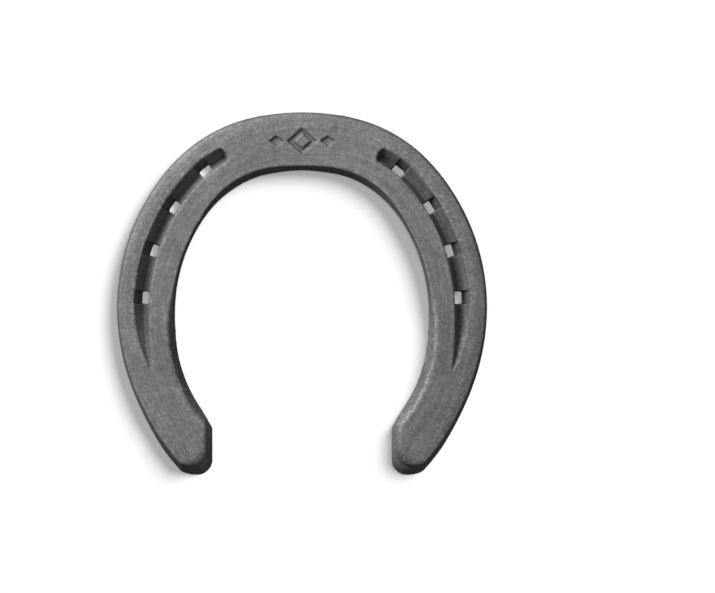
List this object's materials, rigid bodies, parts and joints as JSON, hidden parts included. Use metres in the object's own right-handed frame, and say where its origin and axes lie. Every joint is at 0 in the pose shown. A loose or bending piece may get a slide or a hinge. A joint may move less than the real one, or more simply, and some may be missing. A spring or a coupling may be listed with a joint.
{
  "type": "horseshoe",
  "caption": "Forged steel front horseshoe with a crease and rectangular nail holes in each branch, a toe clip and slanted heels.",
  "frame": {"origin": "on the hoof face, on the centre line, at the middle of the web at the toe", "axes": "+Z from the hoof face up to the creased ground face, +Y towards the toe, +X across the shoe"},
  "size_m": [0.1302, 0.1281, 0.0205],
  "materials": {
    "forged_steel": "satin"
  },
  "bodies": {
    "root": {"shoe": "forged_steel"}
  },
  "joints": []
}
